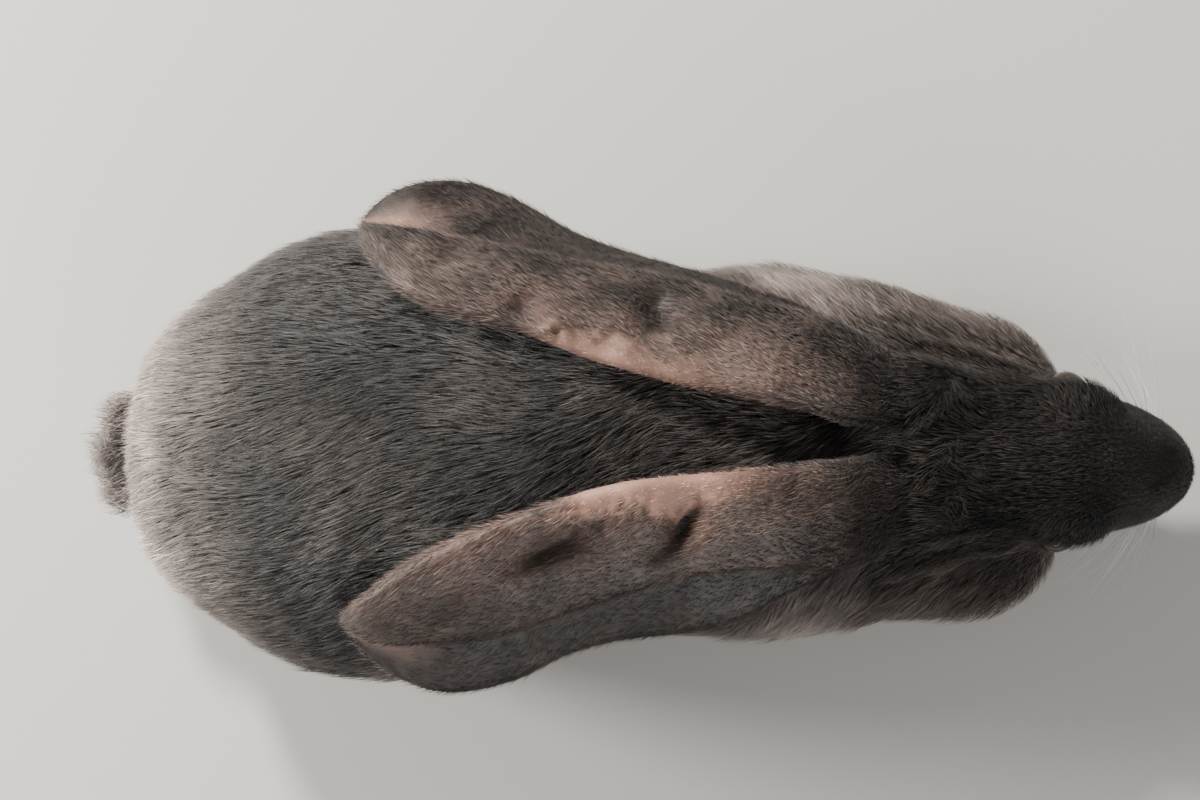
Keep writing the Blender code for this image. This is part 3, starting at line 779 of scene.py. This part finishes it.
def shell_faces(rows, steps):
    """Faces of two sheets of points in rows, and of the strips that join their margins."""
    index = np.arange(rows * steps).reshape(rows, steps)
    other = index + index.size
    corners = [index[:-1, :-1], index[:-1, 1:], index[1:, 1:], index[1:, :-1]]
    quads = np.stack(corners, axis=-1).reshape(-1, 4)
    borders = [(index[0], other[0]), (other[-1], index[-1])]
    borders += [(other[:, 0], index[:, 0]), (index[:, -1], other[:, -1])]
    strips = [np.stack([a[1:], a[:-1], b[:-1], b[1:]], axis=-1) for a, b in borders]
    return np.concatenate([quads, quads[:, ::-1] + index.size] + strips)


def ear_pinkness(places, grid, across, rows, at_tip):
    """How bare the upper sheet of an ear is, and how pink both sheets are over its grid, with painted light
    and shade.
    """
    flat = grid.reshape(-1, 3)
    noise = (ripple(flat, 0.020, 33) + 0.9 * ripple(flat, 0.006, 34)).reshape(rows.shape)
    blotches = ripple(flat, 0.040, 35).reshape(rows.shape)
    from_fold = np.abs(grid[:, :, 1] - grid[:, EAR_COLUMNS // 2, 1][:, None])
    start, full, fading, end, strength, base = places
    bare = smoothstep(start, full, grid[:, :, 0]) * smoothstep(end, fading, grid[:, :, 0])
    bare *= smoothstep(0.0145, 0.003, from_fold + noise * 0.0042)
    bare *= smoothstep(-0.45, -0.1, across)[None]
    # Its base, higher on the right ear, is partly painted light.
    pink_out_and_light = strength * bare + base + 0.06 * noise + 0.06 * blotches
    pink_out_and_light -= 0.12 * smoothstep(0.66, 0.86, rows) + 0.18 * smoothstep(0.26, 0.08, rows)
    pink_out_and_light -= 0.15 * smoothstep(0.30, 0.90, across)[None]
    # The inner sheet is pink near the tip; elsewhere it is near black, painted shade under the upper sheet.
    pink_in_and_shade = at_tip * (1.0 - 0.94 * smoothstep(0.50, 0.90, np.abs(across)))[None] + 0.05 * noise
    return bare, np.clip(pink_out_and_light, 0, 1), np.clip(pink_in_and_shade, 0, 1)


def ear_mesh(word, outer):
    """A closed two-sided ear, with its way along, its tangents, pinkness with painted light and shade, and
    inner side at each vertex.
    """
    grid, across = ear_middle(np.array(EAR_STATIONS[word]) / TENTHS_PER_METRE, outer)
    grid = dented(grid, across, EAR_DENTS[word])
    flat = grid.reshape(-1, 3)
    wave = (ripple(flat, 0.036, 31) * 0.0009 + ripple(flat, 0.012, 32) * 0.00025).reshape(grid.shape[:2])
    grid[:, :, 2] += wave
    tipward = unit(np.gradient(grid, axis=0))
    outward = unit(np.gradient(grid, axis=1))
    normals = unit(np.cross(tipward, outward))
    if normals[EAR_ROWS // 2, -8, 2] < 0:
        normals = -normals
    thickness = EAR_THICKNESS * (1 - 0.6 * np.abs(across) ** 8)[None, :, None]
    outside, inside = grid + normals * thickness / 2, grid - normals * thickness / 2
    points = np.concatenate([outside.reshape(-1, 3), inside.reshape(-1, 3)]) + np.array(form_shift)
    mesh = turned_outwards(mesh_from(f"ear_{word}", points, shell_faces(EAR_ROWS, EAR_COLUMNS)))
    rows, over = np.meshgrid(np.linspace(0, 1, EAR_ROWS), np.linspace(0, 1, EAR_COLUMNS), indexing="ij")
    spots = [columns((rows * 0.48 + start).ravel(), (over * 0.98 + 0.01).ravel()) for start in (0.01, 0.51)]
    loops = gathered(mesh.loops, "vertex_index", 1, np.int64)
    set_uvs(mesh, np.concatenate(spots)[loops[:, 0]])
    at_tip = smoothstep(0.62, 0.80, rows)
    bare, pink_out_and_light, pink_in_and_shade = ear_pinkness(EAR_PINK_AND_LIGHT[word], grid, across, rows, at_tip)
    nothing = np.zeros(rows.size)
    details = dict(
        along=np.tile(rows.ravel(), 2),
        across=np.tile(np.broadcast_to(across, rows.shape).ravel(), 2),
        tipward=np.tile(tipward.reshape(-1, 3), (2, 1)),
        pink=np.concatenate([pink_out_and_light.ravel(), pink_in_and_shade.ravel()]),
        bare=np.concatenate([bare.ravel(), nothing]),
        inner=np.concatenate([nothing, (0.25 + 0.75 * at_tip).ravel()]),
    )
    set_lock(mesh, [np.full(len(points), 0.4), np.full(len(points), 0.35), details["pink"]])
    return mesh, details


def add_ear(word, outer, flesh_material, velvet_material, coat_look):
    """An ear with short velvet, and the body's longer coat over its root."""
    mesh, details = ear_mesh(word, outer)
    along, bare, inner = details["along"], details["bare"], details["inner"]
    new_piece(f"ear_{word}_flesh", mesh, flesh_material, [f"ear_{word}"])
    edge = smoothstep(0.90, 1.0, np.abs(details["across"]))
    density = (1 - 0.30 * bare) * (1 - 0.55 * inner) * (1 + 1.5 * edge)
    roots, normals, uvs, lie, pink, bare_here, inner_here, at_edge = sampled(
        mesh, density, EAR_TUFTS, details["tipward"], details["pink"], bare, inner, edge
    )
    lie[:, 1] += SIDES[word] * (0.45 * at_edge + 0.10)
    ruffle = ripples(roots, [(0.024, seed) for seed in (41, 42, 43)])
    lie += 0.12 * ruffle + rng.normal(scale=0.08, size=(EAR_TUFTS, 3))
    lengths = (0.0058 - 0.0034 * bare_here - 0.0034 * inner_here) * rng.uniform(0.6, 1.2, EAR_TUFTS)
    widths = (0.00034 - 0.00010 * np.maximum(bare_here, inner_here)) * rng.uniform(0.7, 1.2, EAR_TUFTS)
    heights = lengths * rng.uniform(0.14, 0.50, EAR_TUFTS)
    hairs = Hairs(roots, normals, uvs, laid(lie, normals), lengths, widths, heights, pink)
    tuft_pieces(f"ear_{word}_velvet", velvet_material, hairs, bent=False)
    root_density = smoothstep(0.30, 0.10, along) * (1 - inner) * (1 - 0.8 * bare) + LEAST_DENSITY
    roots, normals, uvs, lie, along_here = sampled(mesh, root_density, ROOT_TUFTS, details["tipward"], along)
    lie += 0.3 * ripples(roots, [(0.02, seed) for seed in (51, 52, 53)])
    lengths = (0.0100 - 0.012 * along_here) * rng.uniform(0.7, 1.1, ROOT_TUFTS)
    widths = 0.00042 * rng.uniform(0.7, 1.2, ROOT_TUFTS)
    heights = lengths * rng.uniform(0.12, 0.34, ROOT_TUFTS)
    tone = np.full(ROOT_TUFTS, 0.14)
    hairs = Hairs(roots, normals, uvs, laid(lie, normals), lengths, widths, heights, tone)
    tuft_pieces(f"ear_{word}_root", coat_look, hairs)


# ---------------- eyes and lids


def eye_frame(side):
    """The eye's place and axes in the frame: forwards, upwards, and out of the head."""
    centre = head @ Vector((EYE_PLACE.x, side * EYE_PLACE.y, EYE_PLACE.z))
    turn = head.to_3x3()
    out = turn @ Vector((EYE_AXIS.x, side * EYE_AXIS.y, EYE_AXIS.z))
    forward = turn @ Vector((1, 0, 0))
    forward = (forward - out * forward.dot(out)).normalized()
    return centre, forward, out.cross(forward) * side, out


def eye_mesh(side):
    """An eyeball with a slightly bulging front, and its angle from the axis kept for the iris."""
    centre, forward, up, out = eye_frame(side)
    points, angles = [], []
    for ring in range(EYE_RINGS + 1):
        angle = math.pi * ring / EYE_RINGS
        bulge = EYE_RADIUS * (1 + 0.035 * math.exp(-((angle / 0.55) ** 2)))
        for step in range(EYE_STEPS):
            turn = math.tau * step / EYE_STEPS
            way = out * math.cos(angle) + (forward * math.cos(turn) + up * math.sin(turn)) * math.sin(angle)
            points.append(centre + way * bulge)
            angles.append(angle)
    mesh = mesh_from("eye", np.array(points), ring_faces(EYE_RINGS + 1, EYE_STEPS))
    set_lock(mesh, [np.array(angles) / math.pi, 0.5, 0.5])
    return turned_outwards(mesh, merge=True)


# Way out from the lids' rim in degrees, height over the eyeball, and share of the head's skin in it.
LID_PROFILE = [
    (0, -0.0004, 0.0),
    (0.5, 0.0003, 0.0),
    (3, 0.0010, 0.0),
    (8, 0.0015, 0.0),
    (15, 0.0016, 0.0),
    (23, 0.0014, 0.12),
    (32, 0.0012, 0.35),
    (42, 0.0014, 0.66),
    (53, 0.0022, 0.92),
    (66, 0.0036, 1.0),
]


def lid_mesh(side, tree):
    """Both lids of an eye as one ring from the rim to just under the skin, and the ring of each vertex."""
    centre, forward, up, out = eye_frame(side)
    points = []
    for extra, height, share in LID_PROFILE:
        for step in range(LID_STEPS):
            turn = math.tau * step / LID_STEPS
            corner = abs(math.cos(turn)) ** 3
            opening = 54 + 10 * corner - (9 * max(math.sin(turn), 0)) * (1 - corner)
            angle = math.radians(opening + extra)
            tilt = turn + math.radians(9)
            way = out * math.cos(angle) + (forward * math.cos(tilt) + up * math.sin(tilt)) * math.sin(angle)
            over_eye = centre + way * (EYE_RADIUS + height)
            spot, normal, _, _ = tree.find_nearest(over_eye)
            points.append(over_eye.lerp(spot - normal * (0.0006 * share), share))
    mesh = turned_outwards(mesh_from("lids", np.array(points), ring_faces(len(LID_PROFILE), LID_STEPS)))
    if sum(v.normal.dot(out) for v in mesh.vertices) < 0:
        mesh.flip_normals()
    return mesh, np.arange(len(mesh.vertices)) // LID_STEPS


def add_eye(word, tree, eye_look, skin_look, coat_look):
    """An eyeball, its lids as a thin shell, and the fine hair on them."""
    side = SIDES[word]
    new_piece(f"eyeball_{word}", eye_mesh(side), eye_look, [f"eye_{word}"])
    mesh, ring = lid_mesh(side, tree)
    lids = new_piece(f"lids_{word}", mesh.copy(), skin_look)
    solid = lids.modifiers.new("thickness", "SOLIDIFY")
    solid.thickness = LID_THICKNESS
    solid.offset = -1
    closed = evaluated(lids)
    lids.modifiers.clear()
    lids.data = closed
    closed.shade_smooth()
    set_lock(closed, [np.full(len(closed.vertices), 0.2), 0.0, 0.0])
    holder = in_scene("lid_sampler", mesh)
    unwrapped(holder)
    bpy.data.objects.remove(holder)
    density = smoothstep(2.2, 4.0, ring.astype(float)) + LEAST_DENSITY
    roots, normals, uvs = sampled(mesh, density, LID_TUFTS)
    centre, forward, _, _ = eye_frame(side)
    lie = 0.55 * unit(roots - np.array(centre)) - 0.75 * np.array(forward)
    lengths = 0.0026 * rng.uniform(0.7, 1.2, LID_TUFTS)
    widths = 0.00026 * rng.uniform(0.7, 1.2, LID_TUFTS)
    heights = 0.0007 * rng.uniform(0.5, 1.2, LID_TUFTS)
    tone = coat_tone_and_light(roots, regions(roots))
    hairs = Hairs(roots, normals, uvs, laid(lie, normals), lengths, widths, heights, tone)
    tufts(f"coat_lids_{word}", coat_look, hairs, bent=False, pull=0.15)


# ---------------- claws and whiskers


def add_claws(material):
    """A curved claw for each packed one, from inside the toe to its point."""
    for limb, word, number in itertools.product(("fore", "hind"), SIDES, range(1, 5)):
        node = f"claw_{limb}_{word}_{number}"
        low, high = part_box(node)
        steps = np.linspace(0, 1, 14)
        root = np.array([low.x - 0.0035, (low.y + high.y) / 2, high.z - 0.0008])
        tip = np.array([high.x, (low.y + high.y) / 2, low.z + 0.0002])
        line = root + (tip - root) * steps[:, None]
        line[:, 2] += 0.0009 * np.sin(steps * math.pi)
        radii = 0.0015 * np.sqrt(np.clip(1 - steps, 0, 1)) * (1 - 0.25 * steps) + 0.00018
        mesh = tubes(f"{node}_horn", line[None], radii[None], CLAW_SIDES)
        set_lock(mesh, [np.append(np.repeat(steps, CLAW_SIDES), [0, 1]), 0.5, 0.5])
        new_piece(f"{node}_horn", mesh, material, [node])


def add_whiskers(tree, material):
    """Whiskers in rows on both whisker pads."""
    lines, radii = [], []
    steps = np.linspace(0, 1, 12)
    turn = head.to_3x3()
    fall = np.array(turn @ Vector((-0.20, 0, -0.25)))
    for side, row, column in itertools.product(SIDES.values(), range(WHISKER_ROWS), range(WHISKER_COLUMNS)):
        place = Vector((0.1385 - 0.0052 * column + 0.0012 * row, side * 0.030, 0.002 - 0.0050 * row))
        way = Vector((-0.20 - 0.14 * column, side, 0.22 - 0.24 * row)).normalized()
        reach = (0.050 - 0.004 * abs(column - 2) - 0.003 * row) * rng.uniform(0.75, 1.15)
        way += Vector(rng.normal(scale=0.10, size=3))
        along = np.array(turn @ way.normalized())
        root = np.array(tree.find_nearest(head @ place)[0])
        line = root + along * (steps * reach - 0.001)[:, None] + fall * (reach * 0.45 * steps**2)[:, None]
        line[:, 2] = np.maximum(line[:, 2], 0.002)
        lines.append(line)
        radii.append((0.00003 + 0.0027 * reach) * (1 - steps) ** 0.7 + 0.00002)
    mesh = tubes("whiskers", np.array(lines), np.array(radii), sides=5)
    set_lock(mesh, [0.5, 0.5, 0.5])
    new_piece("whiskers", mesh, material)


# ---------------- materials


def set_inputs(node, **values):
    """Sets inputs of a node by name, with an underscore for each space."""
    for name, value in values.items():
        node.inputs[name.replace("_", " ")].default_value = value


def new_material(name, roughness, sheen=0.0, specular=0.5):
    made = bpy.data.materials.new(name)
    made.use_nodes = True
    shader = made.node_tree.nodes["Principled BSDF"]
    set_inputs(shader, Roughness=roughness, Sheen_Weight=sheen, Specular_IOR_Level=specular)
    return made, made.node_tree, shader


def noise_node(tree, scale, detail):
    place = tree.nodes.new("ShaderNodeTexCoord").outputs["Object"]
    made = tree.nodes.new("ShaderNodeTexNoise")
    set_inputs(made, Scale=scale, Detail=detail)
    tree.links.new(place, made.inputs["Vector"])
    return made.outputs["Fac"]


def ramp_node(tree, fac, stops):
    """Colours along a value: the stops are pairs of a position and a colour."""
    made = tree.nodes.new("ShaderNodeValToRGB")
    elements = made.color_ramp.elements
    while len(elements) < len(stops):
        elements.new(0.5)
    for element, (position, colour) in zip(elements, stops):
        element.position = position
        element.color = (*colour, 1)
    tree.links.new(fac, made.inputs["Fac"])
    return made.outputs["Color"]


def paint(tree, shader, *layers):
    """Sets the base colour to the product of its layers, each the colours along a value."""
    colour, *others = [ramp_node(tree, value, stops) for value, stops in layers]
    for other in others:
        made = tree.nodes.new("ShaderNodeMix")
        made.data_type = "RGBA"
        made.blend_type = "MULTIPLY"
        set_inputs(made, Factor=1.0)
        tree.links.new(colour, made.inputs["A"])
        tree.links.new(other, made.inputs["B"])
        colour = made.outputs["Result"]
    tree.links.new(colour, shader.inputs["Base Color"])


def lock_channels(tree):
    """What set_lock stored: chance, way along the hair, and tone or pink, with their painted light and
    shade.
    """
    lock = tree.nodes.new("ShaderNodeAttribute")
    lock.attribute_name = "lock"
    parts = tree.nodes.new("ShaderNodeSeparateColor")
    tree.links.new(lock.outputs["Color"], parts.inputs["Color"])
    return parts.outputs["Red"], parts.outputs["Green"], parts.outputs["Blue"]


def bump_on(tree, shader, height, strength, distance):
    bump = tree.nodes.new("ShaderNodeBump")
    set_inputs(bump, Strength=strength, Distance=distance)
    tree.links.new(height, bump.inputs["Height"])
    tree.links.new(bump.outputs["Normal"], shader.inputs["Normal"])


def grey(value, warmth=0.05):
    """A colour that is a little redder and less blue than a plain grey."""
    return (value * (1 + warmth), value, value * (1 - 0.6 * warmth))


HAIR_SHADES = [(0.0, grey(0.50)), (0.80, grey(1.0)), (0.93, grey(1.35)), (1.0, grey(2.6))]
# Greys along the coat's tone; the palest stop is this pale for the rump's painted highlight.
COAT_TONES_AND_LIGHT = [
    (0.0, grey(0.008, 0.09)),
    (0.25, grey(0.045, 0.09)),
    (0.60, grey(0.130, 0.07)),
    (1.0, grey(0.53)),
]
# Ear colours along the pink value; the darkest stop is painted shade, for the inner sheet where the upper
# sheet shades it.
EAR_TONES_AND_SHADE = [
    (0.0, (0.020, 0.016, 0.014)),
    (0.20, (0.096, 0.077, 0.070)),
    (0.45, (0.176, 0.130, 0.115)),
    (1.0, (0.50, 0.33, 0.275)),
]
IRIS_COLOURS = [
    (0.0, (0.003, 0.003, 0.004)),
    (0.125, (0.004, 0.003, 0.003)),
    (0.145, (0.020, 0.011, 0.006)),
    (0.24, (0.028, 0.014, 0.008)),
    (0.275, (0.012, 0.007, 0.005)),
    (0.36, (0.020, 0.012, 0.010)),
]
HORN_COLOURS = [(0.0, (0.035, 0.028, 0.024)), (0.6, (0.060, 0.048, 0.040)), (1.0, (0.20, 0.16, 0.12))]
WHISKER_COLOURS = [(0.3, (0.55, 0.54, 0.52)), (0.7, (0.85, 0.84, 0.82))]


def fur_material(name, tones, roughness, sheen, root=0.32, tip=1.55, specular=0.4):
    """Hair or hide: its tone from the lock, paler from root to tip, with a few pale guard hairs."""
    made, tree, shader = new_material(name, roughness, sheen, specular)
    set_inputs(shader, Sheen_Roughness=0.4, Sheen_Tint=(0.95, 0.93, 0.91, 1))
    chance, along, tone = lock_channels(tree)
    way = (along, [(0.0, grey(root)), (0.6, grey(0.95)), (1.0, grey(tip))])
    clouds = (noise_node(tree, 55, 4), [(0.3, grey(0.78)), (0.7, grey(1.20))])
    paint(tree, shader, (tone, tones), (chance, HAIR_SHADES), way, clouds)
    bump_on(tree, shader, noise_node(tree, 1400, 3), 0.35, 0.0004)
    return made


def eye_material():
    """A wet eyeball, whose colours go by the angle from its axis: pupil, brown iris and a dark white."""
    made, tree, shader = new_material("eye_wet", 0.05, 0.0, 0.32)
    set_inputs(shader, Coat_Weight=0.2, Coat_Roughness=0.02)
    angle, _, _ = lock_channels(tree)
    fibres = (noise_node(tree, 900, 5), [(0.3, grey(0.6)), (0.7, grey(1.35))])
    paint(tree, shader, (angle, IRIS_COLOURS), fibres)
    return made


def claw_material():
    """Dark horn that is paler towards the point, with fine streaks."""
    made, tree, shader = new_material("horn", 0.32, 0.0, 0.5)
    along, _, _ = lock_channels(tree)
    streaks = (noise_node(tree, 1500, 4), [(0.3, grey(0.7)), (0.7, grey(1.25))])
    paint(tree, shader, (along, HORN_COLOURS), streaks)
    bump_on(tree, shader, noise_node(tree, 2500, 2), 0.3, 0.0002)
    return made


def whisker_material():
    made, tree, shader = new_material("whisker", 0.35, 0.0, 0.5)
    paint(tree, shader, (noise_node(tree, 120, 2), WHISKER_COLOURS))
    return made


# ---------------- stage, light and camera


def add_stage():
    corners = [(-4, -4, 0), (4, -4, 0), (4, 4, 0), (-4, 4, 0)]
    floor = in_scene("floor", mesh_from("floor", corners, np.array([[0, 1, 2, 3]])))
    paint, _, shader = new_material("floor", 0.85)
    set_inputs(shader, Base_Color=(0.50, 0.485, 0.46, 1))
    floor.data.materials.append(paint)


def lamp(name, place, size, energy, colour):
    light = bpy.data.lights.new(name, "AREA")
    light.shape = "DISK"
    light.size = size
    light.energy = energy
    light.color = colour
    made = in_scene(name, light)
    made.location = place
    made.rotation_mode = "QUATERNION"
    made.rotation_quaternion = (Vector((0, 0, 0.06)) - Vector(place)).to_track_quat("-Z", "Y")


def light_and_camera():
    lamp("key", (-0.75, 1.20, 1.05), 0.24, 66, (1.0, 0.967, 0.925))
    lamp("rim", (-1.45, 0.25, 0.62), 0.45, 48, (1.0, 0.98, 0.95))
    lamp("fill", (0.60, -1.45, 0.50), 1.4, 28, (1.0, 0.985, 0.97))
    world = bpy.data.worlds.new("studio")
    world.use_nodes = True
    set_inputs(world.node_tree.nodes["Background"], Color=(1.0, 0.99, 0.98, 1), Strength=0.30)
    bpy.context.scene.world = world
    camera = bpy.data.cameras.new("camera")
    camera.sensor_width = 36
    camera.lens = CAMERA_LENS
    made = in_scene("camera", camera)
    made.location = form_shift + Vector((0, 0.022, CAMERA_HEIGHT))
    bpy.context.scene.camera = made


# ---------------- the rabbit


def main():
    coat_look = fur_material("blue_coat", COAT_TONES_AND_LIGHT, 0.55, 0.18)
    face_look = fur_material("blue_short_coat", COAT_TONES_AND_LIGHT, 0.60, 0.03, 0.25, 1.7, 0.3)
    hide_look = fur_material("blue_hide", COAT_TONES_AND_LIGHT, 0.75, 0.03)
    ear_flesh_look = fur_material("ear_flesh", EAR_TONES_AND_SHADE, 0.46, 0.04, specular=0.25)
    velvet_look = fur_material("ear_velvet", EAR_TONES_AND_SHADE, 0.62, 0.07, 0.45, 1.6)
    skin_mesh, skin_tree, outer = fused_skin()
    skin = new_piece("skin", skin_mesh, hide_look, FLESH)
    unwrapped(skin)
    points = coordinates(skin_mesh)
    set_lock(skin_mesh, [np.full(len(points), 0.5), 0.2, coat_tone_and_light(points, regions(points))])
    body_coat(skin_mesh, coat_look, face_look)
    for word in SIDES:
        add_ear(word, outer, ear_flesh_look, velvet_look, coat_look)
        add_eye(word, skin_tree, eye_material(), hide_look, coat_look)
    add_claws(claw_material())
    add_whiskers(skin_tree, whisker_material())
    add_stage()
    light_and_camera()


main()
